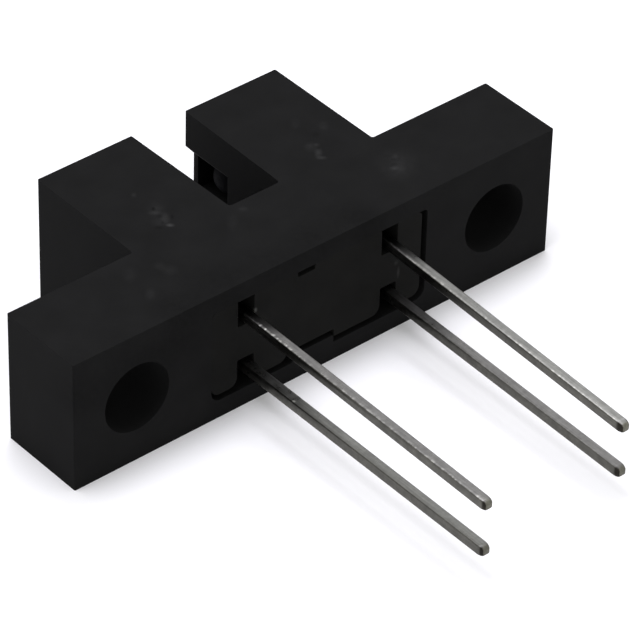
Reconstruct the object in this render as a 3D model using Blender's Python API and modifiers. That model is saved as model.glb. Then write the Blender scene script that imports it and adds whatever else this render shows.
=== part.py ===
"""Slotted optical switch: a moulded housing with two towers, its lead retainer,
an infrared emitter package and a sensor package that face each other across the slot,
and their four stamped leads, dies and bond wires.

Units are metres and +Z is up. X runs along the flange and +Y towards the tips of the towers.
The origin is the middle of the lower side face, under the middle of the flange's thickness.
Run with blender --background --python part.py, or from Blender's text editor.
"""
import math

import bmesh
import bpy
from mathutils import Matrix, Vector

# Flange, towers and slot
BODY_WIDTH = 0.00635
BODY_HEIGHT = 0.0106
SCREW_SPACING = 0.01905
SCREW_TO_END = 0.003175
SCREW_HOLE_DIAMETER = 0.00325
FLANGE_THICKNESS = 0.00427
BLOCK_LENGTH = 0.0127
SLOT_WIDTH = 0.00286
SLOT_DEPTH = 0.00632
SLOT_DRAFT = 0.0001
FLANGE_CORNER_RADIUS = 0.00007
ROOT_FILLET = 0.00012
TOWER_CORNER_RADIUS = 0.00008
SLOT_MOUTH_RADIUS = 0.00007
SLOT_FLOOR_FILLET = 0.00015

# Light channel, moulded open to the tower's tip
CHANNEL_DEPTH = 0.00049
CHANNEL_MOUTH_WIDTH = 0.0028
CHANNEL_FLOOR_WIDTH = 0.0016
CHANNEL_BELOW_AXIS = 0.00145
AXIS_BELOW_TIP = 0.00145
SHUT_OFF = 0.00005

# Optical packages
PACKAGE_THICKNESS = 0.0022
PACKAGE_HEIGHT = 0.0057
PACKAGE_WIDTH = 0.0044
PACKAGE_TOP_ABOVE_AXIS = 0.0011
PACKAGE_EDGE = 0.0001
LENS_RADIUS = 0.00085
LENS_PROJECTION = 0.00065
PACKAGE_CLEARANCE = 0.00005
SEAT_GAP = 0.00005

# Lead retainer and its pocket in the pin face
POCKET_LENGTH = 0.01144
POCKET_WIDTH = 0.00456
POCKET_DEPTH = 0.001
POCKET_LOWER_RADIUS = 0.0005
POCKET_UPPER_RADIUS = 0.0002
KEY_START = -0.00145
KEY_END = 0.00075
KEY_HEIGHT = 0.00038
RETAINER_CLEARANCE = 0.00016
RETAINER_SHIFT = 0.00014
LEG_CORNER_RADIUS = 0.00042
LEAD_NOTCH_WIDTH = 0.00086
WEB_BETWEEN_NOTCHES = 0.0017
POST_SETBACK = 0.00004
SMALL_RADIUS = 0.00006
PRY_NOTCH_START = -0.0011
PRY_NOTCH_END = -0.0002
PRY_NOTCH_DEPTH = 0.00022

# Stamped leads
LEAD_ROW_SPACING = 0.00762
LEAD_PITCH = 0.00254
LEAD_SIZE = 0.00045
LEAD_EDGE = 0.00007
LEAD_EDGE_STEPS = 3
LEAD_TIP_RADIUS = 0.00013
LEAD_CLEARANCE = 0.00003
EMITTER_LEAD_REACH = 0.0145
SENSOR_LEAD_REACH = 0.0141
EMITTER_UPPER_DROP = 0.00033
EMITTER_LOWER_DROP = 0.00011
SENSOR_UPPER_DROP = 0.00067
SENSOR_LOWER_DROP = 0.0004
PADDLE_LENGTH = 0.0013
PADDLE_PAST_AXIS = 0.00065
POST_LENGTH = 0.0008
POST_INNER_EDGE = 0.00095

# Dies and bond wires
DIE_SIZE = 0.0004
DIE_THICKNESS = 0.0002
DIE_BOND_LINE = 0.00002
WIRE_DIAMETER = 0.00003
WIRE_LOOP = 0.0003
WIRE_GAP = 0.00001
WIRE_ROOM = 0.00005
WIRE_POINTS = 13

# Facets
CORNER_STEPS = 5
HOLE_SIDES = 48
LENS_RINGS = 16
CUT_MARGIN = 0.0005
MERGE_DISTANCE = 0.0000001
SMOOTH_ANGLE = math.radians(30)

# Planes that several pieces share
FLANGE_LENGTH = SCREW_SPACING + 2 * SCREW_TO_END
MIDDLE = BODY_WIDTH / 2
PIN_FACE = -FLANGE_THICKNESS / 2
FLANGE_BACK = FLANGE_THICKNESS / 2
TIP = PIN_FACE + BODY_HEIGHT
SLOT_FLOOR = TIP - SLOT_DEPTH
AXIS = TIP - AXIS_BELOW_TIP
POCKET_FLOOR = PIN_FACE + POCKET_DEPTH
PACKAGE_TOP = AXIS + PACKAGE_TOP_ABOVE_AXIS
PACKAGE_BOTTOM = PACKAGE_TOP - PACKAGE_HEIGHT
LEAD_ROW = LEAD_ROW_SPACING / 2
PACKAGE_FACE = LEAD_ROW - PACKAGE_THICKNESS / 2
LENS_FOOT_RADIUS = math.sqrt(LENS_RADIUS ** 2 - (LENS_RADIUS - LENS_PROJECTION) ** 2)
CHANNEL_FLOOR = SLOT_WIDTH / 2 + CHANNEL_DEPTH

# Each places an outline's own plane in the part: local x and y become the two axes named
ALONG_XY = Matrix.Identity(4)
ALONG_XZ = Matrix(((1, 0, 0, 0), (0, 0, -1, 0), (0, 1, 0, 0), (0, 0, 0, 1)))
ALONG_YZ = Matrix(((0, 0, 1, 0), (1, 0, 0, 0), (0, 1, 0, 0), (0, 0, 0, 1)))


def clear_objects():
    for old in list(bpy.data.objects):
        bpy.data.objects.remove(old, do_unlink=True)


def make_collection(name):
    collection = bpy.data.collections.new(name)
    bpy.context.scene.collection.children.link(collection)
    return collection


def make_material(name, colour, roughness, metallic=0.0):
    material = bpy.data.materials.new(name)
    material.use_nodes = True
    shader = material.node_tree.nodes["Principled BSDF"]
    shader.inputs["Base Color"].default_value = (*colour, 1.0)
    shader.inputs["Roughness"].default_value = roughness
    shader.inputs["Metallic"].default_value = metallic
    return material


def object_from_bmesh(name, bm, location=(0, 0, 0)):
    mesh = bpy.data.meshes.new(name)
    bm.to_mesh(mesh)
    bm.free()
    made = bpy.data.objects.new(name, mesh)
    made.location = location
    return made


def rounded_corner(before, corner, after, radius):
    """The points of the arc that rounds one corner of an outline."""
    back = (before - corner).normalized()
    onward = (after - corner).normalized()
    half_angle = back.angle(onward) / 2
    run = radius / math.tan(half_angle)
    centre = corner + (back + onward).normalized() * radius / math.sin(half_angle)
    start = (corner + back * run - centre).normalized()
    end = (corner + onward * run - centre).normalized()
    turns = [start.slerp(end, step / CORNER_STEPS) for step in range(CORNER_STEPS + 1)]
    return [centre + turn * radius for turn in turns]


def rounded_outline(corners):
    """Outline points from a list of corners, each given as x, y and its radius."""
    points = []
    for index, (x, y, radius) in enumerate(corners):
        before = Vector(corners[index - 1][:2])
        after = Vector(corners[(index + 1) % len(corners)][:2])
        corner = Vector((x, y))
        points += rounded_corner(before, corner, after, radius) if radius else [corner]
    return points


def merge_caps(bm):
    """Makes each cap of an extruded outline one face."""
    for level in (-1, 1):
        cap = [face for face in bm.faces if all(vert.co.z * level > 0 for vert in face.verts)]
        bmesh.ops.dissolve_faces(bm, faces=cap)


def mesh_from_curve(curve_object):
    """Turns a curve object into a closed mesh object with its caps welded on."""
    bpy.context.scene.collection.objects.link(curve_object)
    bpy.context.view_layer.update()
    evaluated = curve_object.evaluated_get(bpy.context.evaluated_depsgraph_get())
    mesh = bpy.data.meshes.new_from_object(evaluated)
    bm = bmesh.new()
    bm.from_mesh(mesh)
    bmesh.ops.remove_doubles(bm, verts=bm.verts, dist=MERGE_DISTANCE)
    if curve_object.data.dimensions == "2D":
        merge_caps(bm)
    bmesh.ops.recalc_face_normals(bm, faces=bm.faces)
    bm.to_mesh(mesh)
    bm.free()
    name = curve_object.name
    place = curve_object.matrix_world.copy()
    bpy.data.objects.remove(curve_object, do_unlink=True)
    made = bpy.data.objects.new(name, mesh)
    made.matrix_world = place
    return made


def outline_solid(name, corners, low, high, plane):
    """Extrudes a rounded outline from low to high along the plane's normal axis."""
    curve = bpy.data.curves.new(name, "CURVE")
    curve.dimensions = "2D"
    curve.fill_mode = "BOTH"
    curve.extrude = (high - low) / 2
    points = rounded_outline(corners)
    spline = curve.splines.new("POLY")
    spline.points.add(len(points) - 1)
    for target, point in zip(spline.points, points):
        target.co = (point.x, point.y, 0.0, 1.0)
    spline.use_cyclic_u = True
    made = bpy.data.objects.new(name, curve)
    normal = Vector([abs(value) for value in plane.col[2][:3]])
    made.matrix_world = Matrix.Translation(normal * (low + high) / 2) @ plane
    return mesh_from_curve(made)


def box(name, low, high):
    low = Vector(low)
    high = Vector(high)
    bm = bmesh.new()
    bmesh.ops.create_cube(bm, size=1.0)
    bmesh.ops.scale(bm, verts=bm.verts, vec=high - low)
    return object_from_bmesh(name, bm, (low + high) / 2)


def mirrored_box(name, side, near, far, low, high):
    """A box from near to far of the middle plane, on the side given as -1 or 1."""
    ends = sorted((side * near, side * far))
    return box(name, (ends[0], *low), (ends[1], *high))


def rod(name, location, radius, length):
    """A cylinder along Y."""
    bm = bmesh.new()
    bmesh.ops.create_cone(
        bm, cap_ends=True, segments=HOLE_SIDES, radius1=radius, radius2=radius, depth=length
    )
    made = object_from_bmesh(name, bm, location)
    made.rotation_euler.x = math.radians(90)
    return made


def combine(target, other, operation, cutters):
    """Cuts the other object from the target, or joins it to the target."""
    cutters.objects.link(other)
    other.hide_render = True
    other.display_type = "WIRE"
    modifier = target.modifiers.new(other.name, "BOOLEAN")
    modifier.operation = operation
    modifier.solver = "EXACT"
    modifier.object = other


def soften_edges(target, width, segments=1):
    bevel = target.modifiers.new("edges", "BEVEL")
    bevel.width = width
    bevel.segments = segments
    bevel.limit_method = "ANGLE"
    bevel.angle_limit = SMOOTH_ANGLE


def finish(made, material, parts, holder):
    made.data.materials.clear()
    made.data.materials.append(material)
    made.data.shade_smooth()
    made.data.set_sharp_from_angle(angle=SMOOTH_ANGLE)
    parts.objects.link(made)
    made.parent = holder


def tower_outline():
    """The T shape with its slot, whose walls lean in towards its floor, as seen along Z."""
    floor_half = SLOT_WIDTH / 2 - SLOT_DRAFT
    right = [
        (FLANGE_LENGTH / 2, PIN_FACE, FLANGE_CORNER_RADIUS),
        (FLANGE_LENGTH / 2, FLANGE_BACK, FLANGE_CORNER_RADIUS),
        (BLOCK_LENGTH / 2, FLANGE_BACK, ROOT_FILLET),
        (BLOCK_LENGTH / 2, TIP, TOWER_CORNER_RADIUS),
        (SLOT_WIDTH / 2, TIP, SLOT_MOUTH_RADIUS),
        (floor_half, SLOT_FLOOR, SLOT_FLOOR_FILLET),
    ]
    left = [(-x, y, radius) for x, y, radius in reversed(right)]
    return right + left


def pocket_outline():
    """The retainer's pocket in the pin face, with the key that stands in its lower edge."""
    half_length = POCKET_LENGTH / 2
    lower = MIDDLE - POCKET_WIDTH / 2
    upper = MIDDLE + POCKET_WIDTH / 2
    return [
        (-half_length, lower, POCKET_LOWER_RADIUS),
        (KEY_START, lower, SMALL_RADIUS),
        (KEY_START, lower + KEY_HEIGHT, SMALL_RADIUS),
        (KEY_END, lower + KEY_HEIGHT, SMALL_RADIUS),
        (KEY_END, lower, SMALL_RADIUS),
        (half_length, lower, POCKET_LOWER_RADIUS),
        (half_length, upper, POCKET_UPPER_RADIUS),
        (-half_length, upper, POCKET_UPPER_RADIUS),
    ]


def channel_outline(side):
    """The light channel's cross-section, from inside the slot to the channel's floor."""
    mouth = CHANNEL_MOUTH_WIDTH / 2
    floor = CHANNEL_FLOOR_WIDTH / 2
    slope = (mouth - floor) / CHANNEL_DEPTH
    overrun = SLOT_DRAFT + SHUT_OFF
    start = SLOT_WIDTH / 2 - overrun
    wide = mouth + slope * overrun
    return [
        (side * start, MIDDLE - wide, 0),
        (side * CHANNEL_FLOOR, MIDDLE - floor, 0),
        (side * CHANNEL_FLOOR, MIDDLE + floor, 0),
        (side * start, MIDDLE + wide, 0),
    ]


def cut_screw_holes(housing, cutters):
    for side in (-1, 1):
        place = (side * SCREW_SPACING / 2, 0, MIDDLE)
        hole = rod(f"screw_hole_{side}", place, SCREW_HOLE_DIAMETER / 2, FLANGE_THICKNESS + CUT_MARGIN)
        combine(housing, hole, "DIFFERENCE", cutters)


def cut_cavity(housing, side, cutters):
    """One tower's package cavity, with the groove that the lens slides in along."""
    half_width = PACKAGE_WIDTH / 2 + PACKAGE_CLEARANCE
    near = PACKAGE_FACE - PACKAGE_CLEARANCE
    far = PACKAGE_FACE + PACKAGE_THICKNESS + PACKAGE_CLEARANCE
    start = POCKET_FLOOR - POCKET_DEPTH / 2
    end = PACKAGE_TOP + PACKAGE_CLEARANCE
    low = (start, MIDDLE - half_width)
    high = (end, MIDDLE + half_width)
    combine(housing, mirrored_box(f"cavity_{side}", side, near, far, low, high), "DIFFERENCE", cutters)
    groove_half = LENS_FOOT_RADIUS + PACKAGE_CLEARANCE
    low = (start, MIDDLE - groove_half)
    high = (end, MIDDLE + groove_half)
    front = CHANNEL_FLOOR - SHUT_OFF
    back = near + PACKAGE_THICKNESS / 2
    combine(housing, mirrored_box(f"lens_groove_{side}", side, front, back, low, high), "DIFFERENCE", cutters)


def cut_light_channel(housing, side, cutters):
    """The channel opens the lens groove to the slot wherever the two run past each other."""
    start = AXIS - CHANNEL_BELOW_AXIS
    channel = outline_solid(
        f"light_channel_{side}", channel_outline(side), start, TIP + CUT_MARGIN, ALONG_XZ
    )
    combine(housing, channel, "DIFFERENCE", cutters)


def make_housing(cutters):
    housing = outline_solid("housing", tower_outline(), 0, BODY_WIDTH, ALONG_XY)
    cut_screw_holes(housing, cutters)
    pocket = outline_solid("pocket", pocket_outline(), PIN_FACE - CUT_MARGIN, POCKET_FLOOR, ALONG_XZ)
    combine(housing, pocket, "DIFFERENCE", cutters)
    for side in (-1, 1):
        cut_cavity(housing, side, cutters)
        cut_light_channel(housing, side, cutters)
    return housing


def notch(centre, edge, depth_edge, mouth_radius, setback=0.0):
    """A lead notch in an edge that is followed from left to right."""
    half = LEAD_NOTCH_WIDTH / 2 + setback
    return [
        (centre - half, edge, mouth_radius),
        (centre - half, depth_edge, SMALL_RADIUS),
        (centre + half, depth_edge, SMALL_RADIUS),
        (centre + half, edge, mouth_radius),
    ]


def retainer_outline():
    """The retainer's plate: the pocket's shape less a clearance, with a notch for each lead."""
    half_length = POCKET_LENGTH / 2 - RETAINER_CLEARANCE
    lower = MIDDLE - POCKET_WIDTH / 2 + RETAINER_CLEARANCE
    upper = MIDDLE + POCKET_WIDTH / 2 - RETAINER_CLEARANCE
    key_edge = lower + KEY_HEIGHT
    web = WEB_BETWEEN_NOTCHES / 2
    bottom = [(-half_length, lower, LEG_CORNER_RADIUS)]
    bottom += notch(-LEAD_ROW, lower, MIDDLE - web, LEG_CORNER_RADIUS)
    bottom += [
        (KEY_START - RETAINER_CLEARANCE, lower, LEG_CORNER_RADIUS),
        (KEY_START - RETAINER_CLEARANCE, key_edge, SMALL_RADIUS),
        (KEY_END + RETAINER_CLEARANCE, key_edge, SMALL_RADIUS),
        (KEY_END + RETAINER_CLEARANCE, lower, SMALL_RADIUS),
    ]
    bottom += notch(LEAD_ROW, lower, MIDDLE - web, LEG_CORNER_RADIUS)
    bottom += [(half_length, lower, LEG_CORNER_RADIUS)]
    top = [(-half_length, upper, POCKET_UPPER_RADIUS)]
    top += notch(-LEAD_ROW, upper, MIDDLE + web, SMALL_RADIUS)
    top += [
        (PRY_NOTCH_START, upper, SMALL_RADIUS),
        (PRY_NOTCH_START, upper - PRY_NOTCH_DEPTH, SMALL_RADIUS),
        (PRY_NOTCH_END, upper - PRY_NOTCH_DEPTH, SMALL_RADIUS),
        (PRY_NOTCH_END, upper, SMALL_RADIUS),
    ]
    top += notch(LEAD_ROW, upper, MIDDLE + web, SMALL_RADIUS)
    top += [(half_length, upper, POCKET_UPPER_RADIUS)]
    outline = bottom + top[::-1]
    return [(x - RETAINER_SHIFT, z + RETAINER_SHIFT, radius) for x, z, radius in outline]


def post_outline(side):
    """The retainer's post below one package: an H section, set back from the plate's notches."""
    centre = side * LEAD_ROW
    half_thickness = PACKAGE_THICKNESS / 2 + PACKAGE_CLEARANCE - RETAINER_CLEARANCE
    half_width = PACKAGE_WIDTH / 2 + PACKAGE_CLEARANCE - RETAINER_CLEARANCE
    web = WEB_BETWEEN_NOTCHES / 2 - POST_SETBACK
    bottom = [(centre - half_thickness, MIDDLE - half_width, 0)]
    bottom += notch(centre, MIDDLE - half_width, MIDDLE - web, SMALL_RADIUS, POST_SETBACK)
    bottom += [(centre + half_thickness, MIDDLE - half_width, 0)]
    top = [(x, 2 * MIDDLE - z, radius) for x, z, radius in bottom]
    outline = bottom + top[::-1]
    return [(x - RETAINER_SHIFT, z + RETAINER_SHIFT, radius) for x, z, radius in outline]


def make_retainer(cutters):
    inner_face = POCKET_FLOOR - SEAT_GAP
    retainer = outline_solid("lead_retainer", retainer_outline(), PIN_FACE, inner_face, ALONG_XZ)
    for side in (-1, 1):
        start = inner_face - POCKET_DEPTH / 2
        end = PACKAGE_BOTTOM - SEAT_GAP
        post = outline_solid(f"retainer_post_{side}", post_outline(side), start, end, ALONG_XZ)
        combine(retainer, post, "UNION", cutters)
    return retainer


def lead_outline(level, drop, reach, pad_start, pad_end, pad_edge, grow=0.0):
    """A stamped lead as seen along X: level is 1 for the upper lead and -1 for the lower one.

    The pad at its inner end reaches to pad_edge, measured from the middle plane on the lead's side.
    """
    outer = MIDDLE + level * (LEAD_PITCH / 2 + LEAD_SIZE / 2 + grow)
    inner = MIDDLE + level * (LEAD_PITCH / 2 - LEAD_SIZE / 2 - grow)
    edge = MIDDLE + level * (pad_edge - grow)
    tip = PIN_FACE - reach
    return [
        (tip, inner - drop, LEAD_TIP_RADIUS),
        (PIN_FACE, inner, 0),
        (pad_start - grow, inner, 0),
        (pad_start - grow, edge, 0),
        (pad_end + grow, edge, 0),
        (pad_end + grow, outer, 0),
        (PIN_FACE, outer, 0),
        (tip, outer - drop, LEAD_TIP_RADIUS),
    ]


def paddle_lead(drop, reach, grow=0.0):
    """The upper lead, whose paddle carries the die on the optical axis."""
    start = AXIS - PADDLE_LENGTH / 2
    return lead_outline(1, drop, reach, start, start + PADDLE_LENGTH, -PADDLE_PAST_AXIS, grow)


def post_lead(drop, reach, grow=0.0):
    """The lower lead, whose post takes the bond wire."""
    start = AXIS - POST_LENGTH / 2
    return lead_outline(-1, drop, reach, start, start + POST_LENGTH, POST_INNER_EDGE, grow)


def lead_solid(name, outline, side, half_thickness):
    centre = side * LEAD_ROW
    return outline_solid(name, outline, centre - half_thickness, centre + half_thickness, ALONG_YZ)


def make_lead(name, outline, side):
    lead = lead_solid(name, outline, side, LEAD_SIZE / 2)
    soften_edges(lead, LEAD_EDGE, LEAD_EDGE_STEPS)
    return lead


def die_box(name, side, grow=0.0):
    """The die lies on the paddle's face that looks at the slot."""
    back = LEAD_ROW - LEAD_SIZE / 2 - DIE_BOND_LINE
    half = DIE_SIZE / 2 + grow
    low = (AXIS - half, MIDDLE - half)
    high = (AXIS + half, MIDDLE + half)
    return mirrored_box(name, side, back - DIE_THICKNESS - grow, back + grow, low, high)


def wire_tube(name, side, radius):
    """A looped wire from the die's face to the post's face."""
    lead_face = LEAD_ROW - LEAD_SIZE / 2
    start = lead_face - DIE_BOND_LINE - DIE_THICKNESS - WIRE_GAP - WIRE_DIAMETER / 2
    end = lead_face - WIRE_GAP - WIRE_DIAMETER / 2
    span = (POST_INNER_EDGE + LEAD_PITCH / 2 + LEAD_SIZE / 2) / 2
    curve = bpy.data.curves.new(name, "CURVE")
    curve.dimensions = "3D"
    curve.bevel_depth = radius
    curve.bevel_resolution = 2
    curve.use_fill_caps = True
    spline = curve.splines.new("POLY")
    spline.points.add(WIRE_POINTS - 1)
    for index, point in enumerate(spline.points):
        along = index / (WIRE_POINTS - 1)
        rise = WIRE_LOOP * math.sin(math.pi * along)
        point.co = (side * (start + (end - start) * along - rise), AXIS, MIDDLE - span * along, 1.0)
    return mesh_from_curve(bpy.data.objects.new(name, curve))


def lens_ball(name, side):
    bm = bmesh.new()
    bmesh.ops.create_uvsphere(bm, u_segments=2 * LENS_RINGS, v_segments=LENS_RINGS, radius=LENS_RADIUS)
    centre = side * (PACKAGE_FACE + LENS_RADIUS - LENS_PROJECTION)
    ball = object_from_bmesh(name, bm, (centre, AXIS, MIDDLE))
    ball.rotation_euler.y = math.radians(90)
    return ball


def make_package(name, side, outlines, cutters):
    """A side-looking package: a moulded block with a lens, closed round its lead frame."""
    low = (PACKAGE_BOTTOM, MIDDLE - PACKAGE_WIDTH / 2)
    high = (PACKAGE_TOP, MIDDLE + PACKAGE_WIDTH / 2)
    package = mirrored_box(name, side, PACKAGE_FACE, PACKAGE_FACE + PACKAGE_THICKNESS, low, high)
    soften_edges(package, PACKAGE_EDGE)
    combine(package, lens_ball(f"{name}_lens", side), "UNION", cutters)
    for index, outline in enumerate(outlines):
        half = LEAD_SIZE / 2 + LEAD_CLEARANCE
        room = lead_solid(f"{name}_lead_room_{index}", outline, side, half)
        combine(package, room, "DIFFERENCE", cutters)
    combine(package, die_box(f"{name}_die_room", side, LEAD_CLEARANCE), "DIFFERENCE", cutters)
    wire_room = wire_tube(f"{name}_wire_room", side, WIRE_DIAMETER / 2 + WIRE_ROOM)
    combine(package, wire_room, "DIFFERENCE", cutters)
    return package


def make_optics(kind, side, upper_drop, lower_drop, reach, add, cutters, finishes):
    """One package with its leads, die and bond wire."""
    upper_room = paddle_lead(upper_drop, reach, LEAD_CLEARANCE)
    lower_room = post_lead(lower_drop, reach, LEAD_CLEARANCE)
    package = make_package(f"{kind}_package", side, (upper_room, lower_room), cutters)
    add(package, finishes[f"{kind}_epoxy"])
    add(make_lead(f"{kind}_lead_upper", paddle_lead(upper_drop, reach), side), finishes["tin"])
    add(make_lead(f"{kind}_lead_lower", post_lead(lower_drop, reach), side), finishes["tin"])
    add(die_box(f"{kind}_die", side), finishes["die"])
    add(wire_tube(f"{kind}_bond_wire", side, WIRE_DIAMETER / 2), finishes["gold"])


def make_finishes():
    return {
        "housing": make_material("housing_plastic", (0.014, 0.014, 0.015), 0.55),
        "retainer": make_material("retainer_plastic", (0.011, 0.011, 0.011), 0.6),
        "emitter_epoxy": make_material("emitter_epoxy", (0.03, 0.02, 0.05), 0.15),
        "sensor_epoxy": make_material("sensor_epoxy", (0.01, 0.01, 0.012), 0.2),
        "tin": make_material("tin_plate", (0.52, 0.51, 0.49), 0.35, metallic=1.0),
        "die": make_material("die_crystal", (0.12, 0.13, 0.16), 0.25, metallic=0.6),
        "gold": make_material("gold_wire", (0.9, 0.65, 0.25), 0.25, metallic=1.0),
    }


def main():
    clear_objects()
    parts = make_collection("slotted_optical_switch")
    cutters = make_collection("cutters")
    holder = bpy.data.objects.new("slotted_optical_switch", None)
    parts.objects.link(holder)
    finishes = make_finishes()

    def add(made, material):
        finish(made, material, parts, holder)

    add(make_housing(cutters), finishes["housing"])
    add(make_retainer(cutters), finishes["retainer"])
    make_optics(
        "emitter", -1, EMITTER_UPPER_DROP, EMITTER_LOWER_DROP, EMITTER_LEAD_REACH, add, cutters, finishes
    )
    make_optics(
        "sensor", 1, SENSOR_UPPER_DROP, SENSOR_LOWER_DROP, SENSOR_LEAD_REACH, add, cutters, finishes
    )


main()
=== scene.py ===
import math

import bmesh
import bpy
from mathutils import Matrix, Vector


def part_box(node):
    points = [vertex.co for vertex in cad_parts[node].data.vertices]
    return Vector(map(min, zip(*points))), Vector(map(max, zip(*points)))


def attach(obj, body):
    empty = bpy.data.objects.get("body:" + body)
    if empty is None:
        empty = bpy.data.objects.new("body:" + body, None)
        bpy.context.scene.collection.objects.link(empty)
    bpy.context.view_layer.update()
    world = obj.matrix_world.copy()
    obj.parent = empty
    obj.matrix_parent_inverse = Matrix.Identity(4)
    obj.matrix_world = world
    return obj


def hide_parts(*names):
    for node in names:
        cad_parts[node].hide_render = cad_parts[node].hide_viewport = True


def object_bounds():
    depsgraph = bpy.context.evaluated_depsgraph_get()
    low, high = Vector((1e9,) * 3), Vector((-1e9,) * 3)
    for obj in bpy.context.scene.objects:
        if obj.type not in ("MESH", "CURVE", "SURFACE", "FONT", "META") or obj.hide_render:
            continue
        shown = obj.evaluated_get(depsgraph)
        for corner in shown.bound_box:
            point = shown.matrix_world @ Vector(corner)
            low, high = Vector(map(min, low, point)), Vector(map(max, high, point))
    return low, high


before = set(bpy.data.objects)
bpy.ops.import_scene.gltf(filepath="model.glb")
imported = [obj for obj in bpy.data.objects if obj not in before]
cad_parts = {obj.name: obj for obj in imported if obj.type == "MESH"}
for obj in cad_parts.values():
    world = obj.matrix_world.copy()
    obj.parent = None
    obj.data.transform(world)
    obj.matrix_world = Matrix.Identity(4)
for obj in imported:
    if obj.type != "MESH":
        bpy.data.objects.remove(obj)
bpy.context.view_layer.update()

# Camera. The switch lies on the side of its T and is seen from above the pin face, past the emitter
# end. A long lens on a 36 mm sensor gives the nearly parallel edges of a close product shot.
PIN_FACE_MIDDLE = Vector((0.0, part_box("housing")[0].y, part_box("housing")[1].z / 2))
CAMERA_DISTANCE = 0.18078
CAMERA_AZIMUTH = math.radians(-41.274)
CAMERA_ELEVATION = math.radians(38.13)
CAMERA_ROLL = math.radians(1.655)
LENS_MM = 249.35
SENSOR_MM = 36.0
NEAREST_SEEN = 0.005
FARTHEST_SEEN = 5.0

# How far the view is shifted, so that the switch sits in the frame as it does in the photo.
AIM_RIGHT = -0.0000215
AIM_UP = -0.0005948

turn = Matrix.Rotation(CAMERA_AZIMUTH, 4, "Z")
tilt = Matrix.Rotation(math.pi / 2 - CAMERA_ELEVATION, 4, "X")
roll = Matrix.Rotation(CAMERA_ROLL, 4, "Z")
step_back = Matrix.Translation((AIM_RIGHT, AIM_UP, CAMERA_DISTANCE))
camera_data = bpy.data.cameras.new("photo_camera")
camera_data.lens = LENS_MM
camera_data.sensor_width = SENSOR_MM
camera_data.clip_start = NEAREST_SEEN
camera_data.clip_end = FARTHEST_SEEN
camera = bpy.data.objects.new("photo_camera", camera_data)
bpy.context.scene.collection.objects.link(camera)
camera.matrix_world = Matrix.Translation(PIN_FACE_MIDDLE) @ turn @ tilt @ roll @ step_back
bpy.context.scene.camera = camera

# Housing. One moulding of black glass-filled polyester, with a screw hole in each ear and the
# sensing slot between its towers. The mould leaves a fine spark-eroded grain and small edge radii.
HOUSING_BLACK = "#171717"
HOUSING_EDGE_RADIUS = 0.00004
EDGE_SEGMENTS = 3
MERGE_DISTANCE = 0.0000002
FLAT_ANGLE = math.radians(0.5)
EDGE_ANGLE = math.radians(32)
FLAT_FACE_WEIGHT = 100
MOULDED_ROUGHNESS = 0.8
ROUGHNESS_SWING = 0.04
CLOUD_MM = 1.6
CLOUD_DARKEST = 0.82
CLOUD_PALEST = 1.18
STREAK_MM = 0.3
SCUFF_WEAKEST = 0.6
SCUFF_STRONGEST = 1.4
SCUFF_DIRECTION = math.radians(-38.6)
# Height of the middle of the painted shade on the emitter ear's pin face.
EAR_SHADE_HEIGHT = 0.0047

# The real grain is too fine to show, so it is drawn as coarse as it needs to show.
GRAIN_MM = 0.07
GRAIN_DEPTH = 0.00001

# Most of a noise pattern lies between these two levels.
NOISE_LOW = 0.3
NOISE_HIGH = 0.7


def linear(hex_colour):
    """Turns an sRGB hex colour into linear RGBA."""
    channels = [int(hex_colour[index:index + 2], 16) / 255 for index in (1, 3, 5)]
    return (*[c / 12.92 if c <= 0.04045 else ((c + 0.055) / 1.055) ** 2.4 for c in channels], 1.0)


def add_node(tree, kind, settings=None, **links):
    """Adds a node. Settings are its properties; links are inputs, as values or as other nodes' outputs.

    A link is named for its input, with _ for a space, or is _ and the input's number.
    """
    node = tree.nodes.new(kind)
    for name, value in (settings or {}).items():
        setattr(node, name, value)
    for name, value in links.items():
        socket = node.inputs[int(name[1:])] if name[0] == "_" else node.inputs[name.replace("_", " ")]
        if isinstance(value, bpy.types.NodeSocket):
            tree.links.new(value, socket)
        else:
            socket.default_value = value
    return node


def per_mm(size_mm):
    """The scale of a noise or pattern whose features are this many millimetres across."""
    return 1000.0 / size_mm


def new_material(name):
    """A material with an empty node tree."""
    material = bpy.data.materials.new(name)
    material.use_nodes = True
    material.node_tree.nodes.clear()
    return material, material.node_tree


def scuffed(tree, place, height, scuffs):
    """The sum of all scuffs at a point: how much paler they make it, or darker where it is negative.

    A scuff is an oval patch: its middle's x and y, its half length, which is its half height too, and its
    half width, all in millimetres, and its strength. The height of its middle is in metres. The long axes
    all point the same way, as one sweep leaves them.
    """
    swept = add_node(
        tree, "ShaderNodeMapping", {"vector_type": "POINT"},
        Vector=place, Rotation=(0.0, 0.0, -SCUFF_DIRECTION)
    )
    total = 0.0
    for x, y, half_length, half_width, strength in scuffs:
        middle = Matrix.Rotation(-SCUFF_DIRECTION, 3, "Z") @ Vector((x / 1000, y / 1000, height))
        offset = add_node(
            tree, "ShaderNodeVectorMath", {"operation": "SUBTRACT"}, _0=swept.outputs[0], _1=middle
        )
        squashed = add_node(
            tree, "ShaderNodeVectorMath", {"operation": "MULTIPLY"},
            _0=offset.outputs[0], _1=(per_mm(half_length), per_mm(half_width), per_mm(half_length))
        )
        distance = add_node(tree, "ShaderNodeVectorMath", {"operation": "LENGTH"}, _0=squashed.outputs[0])
        spot = add_node(
            tree, "ShaderNodeMapRange", {"interpolation_type": "SMOOTHSTEP"},
            _0=distance.outputs["Value"], _1=1.0, _2=0.0, _3=0.0, _4=strength
        )
        total = add_node(
            tree, "ShaderNodeMath", {"operation": "ADD"}, _0=spot.outputs[0], _1=total
        ).outputs[0]
    return total


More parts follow.
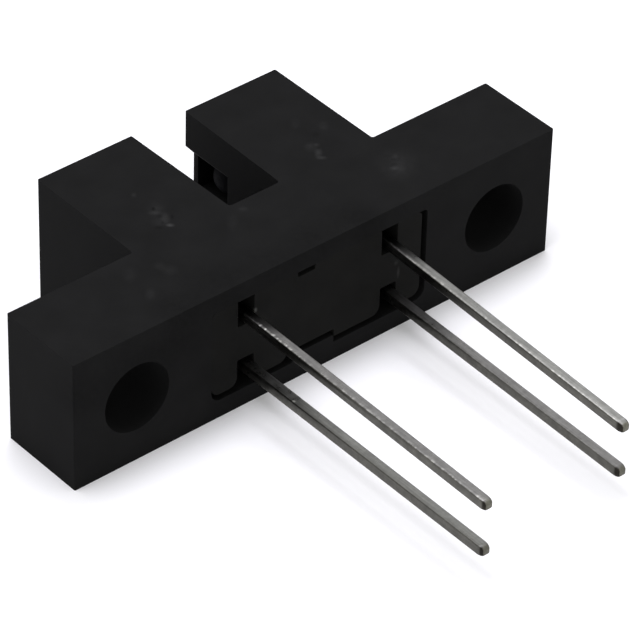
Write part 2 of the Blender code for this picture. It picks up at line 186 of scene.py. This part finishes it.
def moulded_plastic(name, colour, marks):
    """Moulded black polyester, with the scuffs that handling left on it.

    To the eye it is black with hardly any shine, faintly clouded, and each scuff is a paler patch that
    fine streaks break up, or a darker one where its strength is negative; some of the darker ones are
    painted shade. The marks are pairs of a height in metres and the scuffs round that height.
    """
    material, tree = new_material(name)
    place = add_node(tree, "ShaderNodeTexCoord").outputs["Object"]
    clouds = add_node(tree, "ShaderNodeTexNoise", Vector=place, Scale=per_mm(CLOUD_MM), Detail=5.0)
    streaks = add_node(
        tree, "ShaderNodeTexNoise", Vector=place, Scale=per_mm(STREAK_MM), Detail=6.0, Roughness=0.7
    )
    grain = add_node(tree, "ShaderNodeTexNoise", Vector=place, Scale=per_mm(GRAIN_MM), Detail=2.0)
    shade = add_node(
        tree, "ShaderNodeMapRange", _0=clouds.outputs["Fac"],
        _1=NOISE_LOW, _2=NOISE_HIGH, _3=CLOUD_DARKEST, _4=CLOUD_PALEST
    )
    broken = add_node(
        tree, "ShaderNodeMapRange", _0=streaks.outputs["Fac"],
        _1=0.35, _2=0.65, _3=SCUFF_WEAKEST, _4=SCUFF_STRONGEST
    )
    scuffs_and_shade = 0.0
    for height, scuffs in marks:
        scuffs_and_shade = add_node(
            tree, "ShaderNodeMath", {"operation": "ADD"},
            _0=scuffed(tree, place, height, scuffs), _1=scuffs_and_shade
        ).outputs[0]
    # Scuffs and painted shade together, broken up by the streaks.
    wear_and_shade = add_node(
        tree, "ShaderNodeMath", {"operation": "MULTIPLY_ADD"}, _0=scuffs_and_shade, _1=broken.outputs[0], _2=1.0
    )
    level = add_node(
        tree, "ShaderNodeMath", {"operation": "MULTIPLY"}, _0=shade.outputs[0], _1=wear_and_shade.outputs[0]
    )
    base = add_node(
        tree, "ShaderNodeVectorMath", {"operation": "SCALE"}, _0=linear(colour)[:3], Scale=level.outputs[0]
    )
    gloss = add_node(
        tree, "ShaderNodeMapRange", _0=clouds.outputs["Fac"], _1=NOISE_LOW, _2=NOISE_HIGH,
        _3=MOULDED_ROUGHNESS - ROUGHNESS_SWING, _4=MOULDED_ROUGHNESS + ROUGHNESS_SWING
    )
    bump = add_node(tree, "ShaderNodeBump", Height=grain.outputs["Fac"], Strength=0.25, Distance=GRAIN_DEPTH)
    shader = add_node(
        tree, "ShaderNodeBsdfPrincipled", Base_Color=base.outputs[0], Roughness=gloss.outputs[0],
        IOR=1.3, Specular_IOR_Level=0.1, Normal=bump.outputs["Normal"]
    )
    add_node(tree, "ShaderNodeOutputMaterial", Surface=shader.outputs[0])
    return material


def merged_copy(node_name):
    """A bmesh copy of a CAD node with its loose triangles merged into faces."""
    bm = bmesh.new()
    bm.from_mesh(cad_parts[node_name].data)
    bmesh.ops.remove_doubles(bm, verts=bm.verts, dist=MERGE_DISTANCE)
    bmesh.ops.dissolve_limit(bm, angle_limit=FLAT_ANGLE, verts=bm.verts, edges=bm.edges)
    return bm


def round_edges(bm, radius):
    """Rounds every edge sharper than the mould's own arcs."""
    sharp = [edge for edge in bm.edges if edge.is_manifold and edge.calc_face_angle() > EDGE_ANGLE]
    bmesh.ops.bevel(
        bm, geom=sharp, offset=radius, affect="EDGES", segments=EDGE_SEGMENTS, profile=0.5, material=-1,
        clamp_overlap=True
    )


def piece_from(bm, name, material, slot, *nodes):
    """Makes a finished piece that stands for CAD nodes and rides on the only body."""
    mesh = bpy.data.meshes.new(name)
    bm.to_mesh(mesh)
    bm.free()
    mesh.shade_smooth()
    mesh.set_sharp_from_angle(angle=EDGE_ANGLE)
    mesh.materials.append(material)
    piece = bpy.data.objects.new(name, mesh)
    bpy.context.scene.collection.objects.link(piece)
    flat_faces = piece.modifiers.new("flat_faces", "WEIGHTED_NORMAL")
    flat_faces.keep_sharp = True
    flat_faces.weight = FLAT_FACE_WEIGHT
    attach(piece, "root")
    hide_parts(*nodes)


# Paler scuffs on the side that faces up, with a few darker spots among them.
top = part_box("housing")[1].z
emitter_tower_scuffs = [
    (-3.80, 3.85, 0.55, 0.70, 0.45), (-4.00, 3.66, 0.38, 0.20, 0.9), (-3.88, 3.93, 0.12, 0.20, -0.9),
    (-3.90, 3.15, 0.30, 0.55, 0.99), (-4.22, 3.06, 0.50, 0.50, 0.45), (-4.04, 2.64, 0.25, 0.17, 2.7),
    (-4.16, 2.98, 0.10, 0.18, -0.6), (-3.99, 3.35, 0.16, 0.19, -0.45), (-3.63, 3.02, 0.12, 0.24, -0.4),
    (-4.49, 2.80, 0.28, 0.17, -0.35), (-3.91, 5.16, 0.18, 0.24, 0.72),
]
sensor_tower_scuffs = [
    (3.91, 3.21, 0.38, 0.48, 0.72), (4.21, 3.18, 0.18, 0.18, 1.1), (4.11, 2.96, 0.13, 0.12, -0.5),
    (3.88, 2.69, 0.24, 0.55, 1.4), (3.77, 2.36, 0.34, 0.18, 1.4), (4.45, 4.88, 0.30, 0.55, 0.36),
    (5.29, 4.03, 0.30, 0.50, 0.45), (4.64, 3.75, 0.30, 0.32, -0.2),
]
flange_scuffs = [
    (5.93, 0.08, 1.10, 1.60, 0.63), (6.22, 0.58, 0.22, 0.32, 0.63), (5.64, -0.06, 0.26, 0.17, 1.1),
    (5.84, -0.20, 0.38, 0.48, 0.54), (6.03, 0.42, 0.18, 0.13, -0.35), (5.82, 0.15, 0.20, 0.13, -0.35),
    (-6.05, 0.77, 0.35, 0.40, 0.54), (-5.91, 0.32, 0.45, 0.50, 0.54), (-7.36, 1.06, 0.40, 0.70, 0.36),
    (-7.50, -0.41, 0.30, 0.55, 0.54), (-1.94, 1.24, 0.35, 0.80, 0.36), (-1.03, 1.65, 0.30, 0.24, 0.54),
]

# Broad, slightly darker zones along the flange's near edge, and broad painted shade on the upper pin face of
# the emitter ear.
near_edge_darker_zones = [(x, -1.7, 1.9, 1.9, -0.26) for x in (-7.0, -4.7, -2.4, -0.1, 2.2)]
emitter_ear_painted_shade = [(x, 1000 * PIN_FACE_MIDDLE.y, 2.2, 2.2, -0.24) for x in (-12.4, -10.0, -7.6)]

housing_marks = [
    (top, emitter_tower_scuffs + sensor_tower_scuffs + flange_scuffs + near_edge_darker_zones),
    (EAR_SHADE_HEIGHT, emitter_ear_painted_shade),
]
housing_plastic = moulded_plastic("moulded_black_polyester", HOUSING_BLACK, housing_marks)
shell = merged_copy("housing")
round_edges(shell, HOUSING_EDGE_RADIUS)
piece_from(shell, "housing_moulding", housing_plastic, "housing_plastic", "housing")

# Lead retainer. A second black polyester moulding, pressed into the pocket of the pin face and notched
# for the leads. It sits a little to one side, so a dark gap shows along its lower edge and sensor end.
RETAINER_BLACK = "#171716"
RETAINER_EDGE_RADIUS = 0.000015
PRESSED_GAP = 0.00002
PLATE_THICKNESS = 0.001


def push_against_walls(bm):
    """Presses the plate's emitter end and upper edge against the pocket's walls, so no gap shows there."""
    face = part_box("lead_retainer")[0].y
    plate = [vert for vert in bm.verts if vert.co.y < face + PLATE_THICKNESS]
    left = min(vert.co.x for vert in plate)
    upper = max(vert.co.z for vert in plate)
    emitter_end = [vert for vert in plate if vert.co.x < left + PRESSED_GAP]
    bmesh.ops.translate(bm, vec=(-PRESSED_GAP, 0.0, 0.0), verts=emitter_end)
    upper_edge = [vert for vert in plate if vert.co.z > upper - PRESSED_GAP]
    bmesh.ops.translate(bm, vec=(0.0, 0.0, PRESSED_GAP), verts=upper_edge)


# A thin upright pale line and a patch above it, between the sensor's notches, and then a pale spot at the
# edge of the emitter's upper notch.
plate_face = 1000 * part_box("lead_retainer")[0].y
retainer_marks = [
    (0.00287, [(4.22, plate_face, 0.42, 0.07, 2.2)]),
    (0.00342, [(4.07, plate_face, 0.18, 0.14, 1.4)]),
    (0.00462, [(-3.48, plate_face, 0.18, 0.12, 10.0)]),
]
retainer_plastic = moulded_plastic("moulded_black_retainer", RETAINER_BLACK, retainer_marks)
insert = merged_copy("lead_retainer")
push_against_walls(insert)
round_edges(insert, RETAINER_EDGE_RADIUS)
piece_from(insert, "retainer_moulding", retainer_plastic, "retainer_plastic", "lead_retainer")

# Optical packages, dies and bond wires. Each package is cast with its lens in dark epoxy that passes
# infrared only, round a die that is bonded to one lead and wired to the other with gold.
EMITTER_VIOLET = "#140f1a"
SENSOR_BLACK = "#1a1a1c"
CRYSTAL_GREY = "#5d6168"
WIRE_GOLD = "#e6b86a"
EPOXY_CLOUD_MM = 0.9
EPOXY_DARKEST = 0.85
EPOXY_PALEST = 1.15
EPOXY_ROUGHNESS = 0.6
DIE_POLISH_MM = 0.1
WIRE_DRAWING_MM = 0.05
INNER_ROUGHNESS = 0.25
INNER_ROUGHNESS_SWING = 0.08


def cast_epoxy(name, colour):
    """Dark cast epoxy with faint flow clouds.

    To the eye the window is nearly black, and the lens behind it is one faint, paler bar with no
    highlight. So the epoxy is set duller than a polished one.
    """
    material, tree = new_material(name)
    place = add_node(tree, "ShaderNodeTexCoord").outputs["Object"]
    clouds = add_node(tree, "ShaderNodeTexNoise", Vector=place, Scale=per_mm(EPOXY_CLOUD_MM), Detail=2.0)
    shade = add_node(
        tree, "ShaderNodeMapRange", _0=clouds.outputs["Fac"],
        _1=NOISE_LOW, _2=NOISE_HIGH, _3=EPOXY_DARKEST, _4=EPOXY_PALEST
    )
    base = add_node(
        tree, "ShaderNodeVectorMath", {"operation": "SCALE"}, _0=linear(colour)[:3], Scale=shade.outputs[0]
    )
    shader = add_node(
        tree, "ShaderNodeBsdfPrincipled", Base_Color=base.outputs[0], Roughness=EPOXY_ROUGHNESS,
        IOR=1.3, Specular_IOR_Level=0.05
    )
    add_node(tree, "ShaderNodeOutputMaterial", Surface=shader.outputs[0])
    return material


def die_or_wire(name, colour, streak_mm):
    """Polished crystal or drawn gold: small and bright, with the slight unevenness of its making.

    The crystal shines grey and the gold warm yellow, but the closed packages hide them both.
    """
    material, tree = new_material(name)
    place = add_node(tree, "ShaderNodeTexCoord").outputs["Object"]
    streaks = add_node(tree, "ShaderNodeTexNoise", Vector=place, Scale=per_mm(streak_mm), Detail=2.0)
    gloss = add_node(
        tree, "ShaderNodeMapRange", _0=streaks.outputs["Fac"], _1=NOISE_LOW, _2=NOISE_HIGH,
        _3=INNER_ROUGHNESS - INNER_ROUGHNESS_SWING, _4=INNER_ROUGHNESS + INNER_ROUGHNESS_SWING
    )
    shader = add_node(
        tree, "ShaderNodeBsdfPrincipled", Base_Color=linear(colour), Metallic=1.0, Roughness=gloss.outputs[0]
    )
    add_node(tree, "ShaderNodeOutputMaterial", Surface=shader.outputs[0])
    return material


def refinish(node_name, material):
    """Gives a CAD node its finish, with its form as it is."""
    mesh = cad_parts[node_name].data
    mesh.materials.clear()
    mesh.materials.append(material)


refinish("emitter_package", cast_epoxy("violet_infrared_epoxy", EMITTER_VIOLET))
refinish("sensor_package", cast_epoxy("black_infrared_epoxy", SENSOR_BLACK))
crystal = die_or_wire("polished_die_crystal", CRYSTAL_GREY, DIE_POLISH_MM)
gold = die_or_wire("drawn_gold_wire", WIRE_GOLD, WIRE_DRAWING_MM)
for side in ("emitter", "sensor"):
    refinish(f"{side}_die", crystal)
    refinish(f"{side}_bond_wire", gold)

# Leads. Stamped from a rolled strip and tin plated, square in section with rolled-over edges. They
# are cut from their frame after plating, so the pinched tips are bare and the cut sides have darkened.
LEAD_WIDTH = 0.00045
LEAD_PITCH = 0.00254
# How far from the pin face the painted shade and light at the root reach.
ROOT_SHADE_LENGTH = 0.0026
# The sides' colour, darker than the top's as painted shade.
SHADED_SIDE_TIN = "#504f4a"
# Painted highlight colour, for the long edge and for the sides at the root.
HIGHLIGHT_TIN = "#b4b3af"
# The top's colour at the root, a painted reflection of the dark housing.
ROOT_SHADE_BLACK = "#0c0c0c"
SHEARED_METAL = "#2a2824"
BARE_END = "#68675e"
TIN_DARKEST = 0.78
TIN_PALEST = 1.22
SHADED_HALF = 0.45
# The strongest painted highlight on the long edge, near the root.
STRONGEST_EDGE_HIGHLIGHT = 0.9
# Painted light along a lead with an edge highlight: darker at the root, paler at the tip.
TIP_HIGHLIGHT_SWING = 0.25
# How far the painted shade and light on the sides near the root swing.
SIDE_SHADE_SWING = 0.7
TIN_ROUGHEST = 0.36
TIN_SMOOTHEST = 0.26
CUT_ROUGHNESS = 0.65

# The lines that rolling leaves and the plating's specks are too fine to show, so both are drawn coarser.
TIN_STREAK_WIDTH_MM = 0.07
TIN_STREAK_LENGTH_MM = 1.8
TIN_BLOTCH_MM = 0.45
TIN_SPECK_MM = 0.2
TIN_RELIEF_DEPTH = 0.00001

# The cutter narrows the tip across its width over this length, and wear rounds its last part.
PINCH_LENGTH = 0.00034
PINCH_INSET = 0.2
TIP_ROUNDING = 0.3
TIP_ROUNDED_SHARE = 0.35
TIP_RINGS = 6


def tin_plate(name, end, stamped_colour, edge_highlight, root_shade, cut_length, marks):
    """Tin plate on a stamped strip. The plating stops short of the lead's cut end by cut_length.

    To the eye it is a soft grey metal with lengthwise streaks. Its sides are painted darker than its top, as
    painted shade for the darker reflections they show. The edge highlight, up to 1, paints the long edge
    towards -X bright as a painted highlight and pales the tip. The root shade, up to 1, paints the top dark
    at the root as a painted reflection of the housing and the sides there lighter as painted light, and the
    less of it a lead has, the darker the -X half of its top is, as a painted shadow of the lead above.
    """
    material, tree = new_material(name)
    place = add_node(tree, "ShaderNodeTexCoord").outputs["Object"]

    # Streaks that run with the lead, the plating's blotches and its specks.
    stretched = add_node(
        tree, "ShaderNodeMapping", {"vector_type": "POINT"}, Vector=place,
        Scale=(1.0, TIN_STREAK_WIDTH_MM / TIN_STREAK_LENGTH_MM, 1.0)
    )
    streaks = add_node(
        tree, "ShaderNodeTexNoise", Vector=stretched.outputs[0], Scale=per_mm(TIN_STREAK_WIDTH_MM), Detail=3.0
    )
    blotches = add_node(tree, "ShaderNodeTexNoise", Vector=place, Scale=per_mm(TIN_BLOTCH_MM), Detail=4.0)
    specks = add_node(tree, "ShaderNodeTexNoise", Vector=place, Scale=per_mm(TIN_SPECK_MM), Detail=2.0)

    # How far each point takes the sides' painted shade, with a ragged border between the side and the top.
    # The less root shade a lead has, the more the -X half of its top counts as a side, as a painted shadow.
    facing = add_node(
        tree, "ShaderNodeSeparateXYZ", _0=add_node(tree, "ShaderNodeNewGeometry").outputs["Normal"]
    )
    sideways = add_node(tree, "ShaderNodeMath", {"operation": "ABSOLUTE"}, _0=facing.outputs["X"])
    along = add_node(tree, "ShaderNodeSeparateXYZ", _0=place)
    shadowed_half = add_node(
        tree, "ShaderNodeMapRange", _0=along.outputs["X"],
        _1=end.x + 0.1 * LEAD_WIDTH, _2=end.x - 0.5 * LEAD_WIDTH, _3=0.0, _4=SHADED_HALF * (1.0 - root_shade)
    )
    side_and_shadow = add_node(
        tree, "ShaderNodeMath", {"operation": "ADD"}, _0=sideways.outputs[0], _1=shadowed_half.outputs[0]
    )
    ragged = add_node(
        tree, "ShaderNodeMath", {"operation": "MULTIPLY_ADD"},
        _0=blotches.outputs["Fac"], _1=0.6, _2=side_and_shadow.outputs[0]
    )
    shaded_side_mask = add_node(tree, "ShaderNodeMapRange", _0=ragged.outputs[0], _1=0.35, _2=1.05, _3=0.0, _4=1.0)

    # The plating's colour, with the sides darker. At the root the top is painted dark, as a painted
    # reflection of the housing, and the sides, which mirror the dark housing, are painted lighter there, as
    # painted light.
    plated = add_node(
        tree, "ShaderNodeMix", {"data_type": "RGBA"},
        _0=shaded_side_mask.outputs[0], _6=linear(stamped_colour), _7=linear(SHADED_SIDE_TIN)
    )
    root = add_node(
        tree, "ShaderNodeMapRange", {"interpolation_type": "SMOOTHSTEP"},
        _0=along.outputs["Y"], _1=PIN_FACE_MIDDLE.y - ROOT_SHADE_LENGTH, _2=PIN_FACE_MIDDLE.y, _3=0.0, _4=root_shade
    )
    root_colour = add_node(
        tree, "ShaderNodeMix", {"data_type": "RGBA"},
        _0=shaded_side_mask.outputs[0], _6=linear(ROOT_SHADE_BLACK), _7=linear(HIGHLIGHT_TIN)
    )
    root_shaded = add_node(
        tree, "ShaderNodeMix", {"data_type": "RGBA"},
        _0=root.outputs[0], _6=plated.outputs[2], _7=root_colour.outputs[2]
    )

    # The long edge, painted bright in specks as a painted highlight, and up to twice as much near the root.
    edge_highlight_level = add_node(
        tree, "ShaderNodeMapRange", _0=along.outputs["Y"],
        _1=PIN_FACE_MIDDLE.y - 2 * ROOT_SHADE_LENGTH, _2=PIN_FACE_MIDDLE.y - ROOT_SHADE_LENGTH,
        _3=edge_highlight, _4=min(2 * edge_highlight, STRONGEST_EDGE_HIGHLIGHT)
    )
    ridge = add_node(
        tree, "ShaderNodeMapRange", _0=along.outputs["X"],
        _1=end.x - 0.15 * LEAD_WIDTH, _2=end.x - 0.35 * LEAD_WIDTH, _3=0.0, _4=edge_highlight_level.outputs[0]
    )
    above = add_node(tree, "ShaderNodeMapRange", _0=sideways.outputs[0], _1=0.6, _2=0.8, _3=1.0, _4=0.0)
    long_edge = add_node(
        tree, "ShaderNodeMath", {"operation": "MULTIPLY"}, _0=ridge.outputs[0], _1=above.outputs[0]
    )
    speckled = add_node(
        tree, "ShaderNodeMapRange", _0=specks.outputs["Fac"],
        _1=0.48, _2=0.62, _3=0.6 * edge_highlight ** 2, _4=1.0
    )
    edge_highlight_mask = add_node(
        tree, "ShaderNodeMath", {"operation": "MULTIPLY"}, _0=long_edge.outputs[0], _1=speckled.outputs[0]
    )
    bright = add_node(
        tree, "ShaderNodeMix", {"data_type": "RGBA"},
        _0=edge_highlight_mask.outputs[0], _6=root_shaded.outputs[2], _7=linear(HIGHLIGHT_TIN)
    )

    # The sheared facet beside the tip, dark down to a lighter lower rim, and the bare end. The bare end's
    # colour also reaches the rounded corners that turn towards the tip, as painted shade that holds down
    # their highlight.
    cut = add_node(
        tree, "ShaderNodeMapRange", _0=along.outputs["Y"],
        _1=end.y + cut_length, _2=end.y + 0.7 * cut_length, _3=0.0, _4=1.0
    )
    upper_half = add_node(
        tree, "ShaderNodeMapRange", _0=along.outputs["Z"],
        _1=end.z - 0.4 * LEAD_WIDTH, _2=end.z - 0.2 * LEAD_WIDTH, _3=0.4, _4=1.0
    )
    sheared = add_node(
        tree, "ShaderNodeMath", {"operation": "MULTIPLY"}, _0=cut.outputs[0], _1=upper_half.outputs[0]
    )
    cut_side = add_node(
        tree, "ShaderNodeMath", {"operation": "MULTIPLY"}, _0=sheared.outputs[0], _1=shaded_side_mask.outputs[0]
    )
    sides = add_node(
        tree, "ShaderNodeMix", {"data_type": "RGBA"},
        _0=cut_side.outputs[0], _6=bright.outputs[2], _7=linear(SHEARED_METAL)
    )
    # Painted shade: the bare end's darker colour also covers corners turned towards the tip.
    outward = add_node(
        tree, "ShaderNodeMath", {"operation": "MULTIPLY_ADD"},
        _0=shaded_side_mask.outputs[0], _1=0.5, _2=facing.outputs["Y"]
    )
    end_on = add_node(tree, "ShaderNodeMapRange", _0=outward.outputs[0], _1=0.0, _2=-0.3, _3=0.0, _4=1.0)
    finish = add_node(
        tree, "ShaderNodeMix", {"data_type": "RGBA"},
        _0=end_on.outputs[0], _6=sides.outputs[2], _7=linear(BARE_END)
    )

    # How bright the metal is: mottled and marked, some marks being painted glints, and, as painted light on a
    # lead with an edge highlight, darker at the root and paler towards the tip.
    mottle = add_node(
        tree, "ShaderNodeMath", {"operation": "ADD"}, _0=streaks.outputs["Fac"], _1=blotches.outputs["Fac"]
    )
    speckle = add_node(
        tree, "ShaderNodeMath", {"operation": "MULTIPLY_ADD"},
        _0=specks.outputs["Fac"], _1=0.6, _2=mottle.outputs[0]
    )
    tone = add_node(
        tree, "ShaderNodeMapRange", _0=speckle.outputs[0],
        _1=1.0, _2=1.6, _3=TIN_DARKEST, _4=TIN_PALEST
    )
    for height, scuffs in marks:
        tone = add_node(
            tree, "ShaderNodeMath", {"operation": "ADD"},
            _0=scuffed(tree, place, height, scuffs), _1=tone.outputs[0]
        )
    paler = add_node(
        tree, "ShaderNodeMapRange", _0=along.outputs["Y"], _1=PIN_FACE_MIDDLE.y, _2=end.y,
        _3=1.0 - TIP_HIGHLIGHT_SWING * edge_highlight, _4=1.0 + TIP_HIGHLIGHT_SWING * edge_highlight
    )

    # Painted shade and light: near the root, the sides go from dark under the top edge to light at the
    # bottom.
    downward = add_node(
        tree, "ShaderNodeMapRange", _0=along.outputs["Z"],
        _1=end.z + 0.5 * LEAD_WIDTH, _2=end.z - 0.4 * LEAD_WIDTH, _3=-SIDE_SHADE_SWING, _4=SIDE_SHADE_SWING
    )
    near_root = add_node(
        tree, "ShaderNodeMapRange", _0=along.outputs["Y"],
        _1=PIN_FACE_MIDDLE.y - 2.5 * ROOT_SHADE_LENGTH, _2=PIN_FACE_MIDDLE.y, _3=0.0, _4=shaded_side_mask.outputs[0]
    )
    swing = add_node(
        tree, "ShaderNodeMath", {"operation": "MULTIPLY_ADD"},
        _0=downward.outputs[0], _1=near_root.outputs[0], _2=tone.outputs[0]
    )
    brightness = add_node(
        tree, "ShaderNodeMath", {"operation": "MULTIPLY"}, _0=swing.outputs[0], _1=paler.outputs[0]
    )
    colour = add_node(
        tree, "ShaderNodeVectorMath", {"operation": "SCALE"},
        _0=finish.outputs[2], Scale=brightness.outputs[0]
    )

    # Satin where it is plated and rough where it is cut, with the mottling as a faint relief.
    gloss = add_node(
        tree, "ShaderNodeMapRange", _0=blotches.outputs["Fac"],
        _1=NOISE_LOW, _2=NOISE_HIGH, _3=TIN_ROUGHEST, _4=TIN_SMOOTHEST
    )
    rough_cut = add_node(
        tree, "ShaderNodeMix", {"data_type": "FLOAT"},
        _0=cut.outputs[0], _2=gloss.outputs[0], _3=CUT_ROUGHNESS
    )
    bump = add_node(
        tree, "ShaderNodeBump", Height=mottle.outputs[0], Strength=0.12, Distance=TIN_RELIEF_DEPTH
    )
    shader = add_node(
        tree, "ShaderNodeBsdfPrincipled", Base_Color=colour.outputs[0], Metallic=1.0,
        Roughness=rough_cut.outputs[0], Normal=bump.outputs["Normal"]
    )
    add_node(tree, "ShaderNodeOutputMaterial", Surface=shader.outputs[0])
    return material


def shape_tip(bm):
    """Narrows the outer end of a lead as the cutter leaves it, and wears its last corners round.

    Gives the middle of the end.
    """
    tip = min(vert.co.y for vert in bm.verts)
    for ring in range(1, TIP_RINGS + 1):
        everything = bm.verts[:] + bm.edges[:] + bm.faces[:]
        level = tip + PINCH_LENGTH * (ring / TIP_RINGS) ** 2
        bmesh.ops.bisect_plane(bm, geom=everything, plane_co=(0.0, level, 0.0), plane_no=(0.0, 1.0, 0.0))
    end = [vert for vert in bm.verts if vert.co.y < tip + PINCH_LENGTH]
    centre = sum((vert.co for vert in end), Vector()) / len(end)
    for vert in end:
        nearness = 1.0 - (vert.co.y - tip) / PINCH_LENGTH
        offset = Vector((vert.co.x - centre.x, 0.0, vert.co.z - centre.z))
        roundness = max(abs(offset.x), abs(offset.z)) / offset.length
        shrink = 1.0 + (roundness - 1.0) * nearness ** 2
        turned = max(nearness - 1.0 + TIP_ROUNDED_SHARE, 0.0) / TIP_ROUNDED_SHARE
        narrow = (1.0 - PINCH_INSET * nearness ** 2) * (1.0 - TIP_ROUNDING * turned ** 3)
        vert.co.x = centre.x + offset.x * shrink * narrow
        vert.co.z = centre.z + offset.z * shrink
    return Vector((centre.x, tip, centre.z))


# Painted glints on top of the emitter's leads, near the long edge towards -X, and two pale spots near the tip
# of the upper one, where it has dropped by TIP_DROP.
TIP_DROP = 0.00033
upper_lead_top = PIN_FACE_MIDDLE.z + (LEAD_PITCH + LEAD_WIDTH) / 2
lead_marks = {
    ("emitter", "upper"): (
        (upper_lead_top, [
            (-3.95, -3.04, 0.11, 0.10, 8.0), (-3.95, -3.35, 0.09, 0.09, 3.5), (-3.94, -3.84, 0.12, 0.10, 4.0),
            (-3.95, -4.10, 0.09, 0.09, 4.0), (-3.96, -4.67, 0.09, 0.09, 2.5), (-3.97, -4.99, 0.09, 0.09, 2.5),
        ]),
        (upper_lead_top - TIP_DROP, [(-3.93, -16.27, 0.16, 0.12, 0.6), (-3.93, -16.10, 0.16, 0.12, 0.5)]),
    ),
    ("emitter", "lower"): ((upper_lead_top - LEAD_PITCH, [(-3.95, -5.20, 0.10, 0.10, 4.0)]),),
}

# Each lead's side and level, then its colour, edge highlight, root shade and cut_length. The sensor's upper
# lead is given the palest colour, as painted light.
lead_finishes = [
    ("emitter", "upper", "#7c7b7a", 0.4, 0.9, 0.00026),
    ("emitter", "lower", "#7f7f7c", 0.0, 0.35, 0.00024),
    ("sensor", "upper", "#8f8f8d", 0.8, 0.9, 0.00042),
    ("sensor", "lower", "#838281", 0.1, 0.35, 0.00034),
]
for side, level, stamped_colour, edge_highlight, root_shade, cut_length in lead_finishes:
    strip = merged_copy(f"{side}_lead_{level}")
    end = shape_tip(strip)
    tin = tin_plate(
        f"{side}_{level}_tin_plate", end, stamped_colour, edge_highlight, root_shade, cut_length,
        lead_marks.get((side, level), ())
    )
    piece_from(strip, f"{side}_strip_{level}", tin, "tin_plate", f"{side}_lead_{level}")

# Studio. A white table under a soft box and a pale sky, at a level where a colour renders about as
# it is written, so that the black plastic keeps its own tone.
TABLE_SIZE = 4.0
CARD_WHITE = "#fafafa"
CARD_FIBRE_MM = 8.0
CARD_DARKEST = 0.985


def table_white(name):
    """Matte white card, which looks like plain paper with a fibre that hardly shows."""
    material, tree = new_material(name)
    place = add_node(tree, "ShaderNodeTexCoord").outputs["Object"]
    fibre = add_node(tree, "ShaderNodeTexNoise", Vector=place, Scale=per_mm(CARD_FIBRE_MM), Detail=2.0)
    shade = add_node(
        tree, "ShaderNodeMapRange", _0=fibre.outputs["Fac"],
        _1=NOISE_LOW, _2=NOISE_HIGH, _3=CARD_DARKEST, _4=1.0
    )
    base = add_node(
        tree, "ShaderNodeVectorMath", {"operation": "SCALE"},
        _0=linear(CARD_WHITE)[:3], Scale=shade.outputs[0]
    )
    shader = add_node(
        tree, "ShaderNodeBsdfPrincipled", Base_Color=base.outputs[0], Roughness=0.9, IOR=1.3
    )
    add_node(tree, "ShaderNodeOutputMaterial", Surface=shader.outputs[0])
    return material


table_mesh = bpy.data.meshes.new("table")
table_bm = bmesh.new()
bmesh.ops.create_grid(table_bm, x_segments=1, y_segments=1, size=TABLE_SIZE / 2)
table_bm.to_mesh(table_mesh)
table_bm.free()
table = bpy.data.objects.new("table", table_mesh)
table_mesh.materials.append(table_white("white_card"))
bpy.context.scene.collection.objects.link(table)
table.location.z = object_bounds()[0][2]

# The soft box hangs over the switch and faces it.
SOFT_BOX_PLACE = (-0.02, 0.05, 0.45)
SOFT_BOX_LENGTH = 0.4
SOFT_BOX_DEPTH = 0.14
SOFT_BOX_WATTS = 1.6
SOFT_BOX_WHITE = "#f7f6ff"

soft_box_data = bpy.data.lights.new("overhead_soft_box", "AREA")
soft_box_data.shape = "RECTANGLE"
soft_box_data.size = SOFT_BOX_LENGTH
soft_box_data.size_y = SOFT_BOX_DEPTH
soft_box_data.energy = SOFT_BOX_WATTS
soft_box_data.color = linear(SOFT_BOX_WHITE)[:3]
soft_box = bpy.data.objects.new("overhead_soft_box", soft_box_data)
soft_box.location = SOFT_BOX_PLACE
soft_box.rotation_euler = Vector(SOFT_BOX_PLACE).to_track_quat("Z", "Y").to_euler()
bpy.context.scene.collection.objects.link(soft_box)

# The sky lights the scene from dim at the horizon to bright overhead. The camera, and the rays that
# surfaces mirror or let through, see it as plain white.
SKY_HORIZON = 0.08
SKY_ZENITH = 0.9
SKY_ZENITH_STARTS = 0.7
SKY_SEEN = 1.0

world = bpy.data.worlds.new("pale_sky")
world.use_nodes = True
sky = world.node_tree
sky.nodes.clear()
direction = add_node(sky, "ShaderNodeTexCoord").outputs["Generated"]
height = add_node(sky, "ShaderNodeSeparateXYZ", _0=direction)
sky_level = add_node(
    sky, "ShaderNodeMapRange", _0=height.outputs["Z"],
    _1=0.0, _2=SKY_ZENITH_STARTS, _3=SKY_HORIZON, _4=SKY_ZENITH
)
ray = add_node(sky, "ShaderNodeLightPath")
seen = add_node(
    sky, "ShaderNodeMath", {"operation": "ADD"},
    _0=ray.outputs["Is Camera Ray"], _1=ray.outputs["Is Glossy Ray"]
)
seen_or_through = add_node(
    sky, "ShaderNodeMath", {"operation": "ADD", "use_clamp": True},
    _0=seen.outputs[0], _1=ray.outputs["Is Transmission Ray"]
)
strength = add_node(
    sky, "ShaderNodeMix", {"data_type": "FLOAT"},
    _0=seen_or_through.outputs[0], _2=sky_level.outputs[0], _3=SKY_SEEN
)
backdrop = add_node(sky, "ShaderNodeBackground", Color=linear("#ffffff"), Strength=strength.outputs[0])
add_node(sky, "ShaderNodeOutputWorld", Surface=backdrop.outputs[0])
bpy.context.scene.world = world
bpy.context.scene.view_settings.view_transform = "Standard"
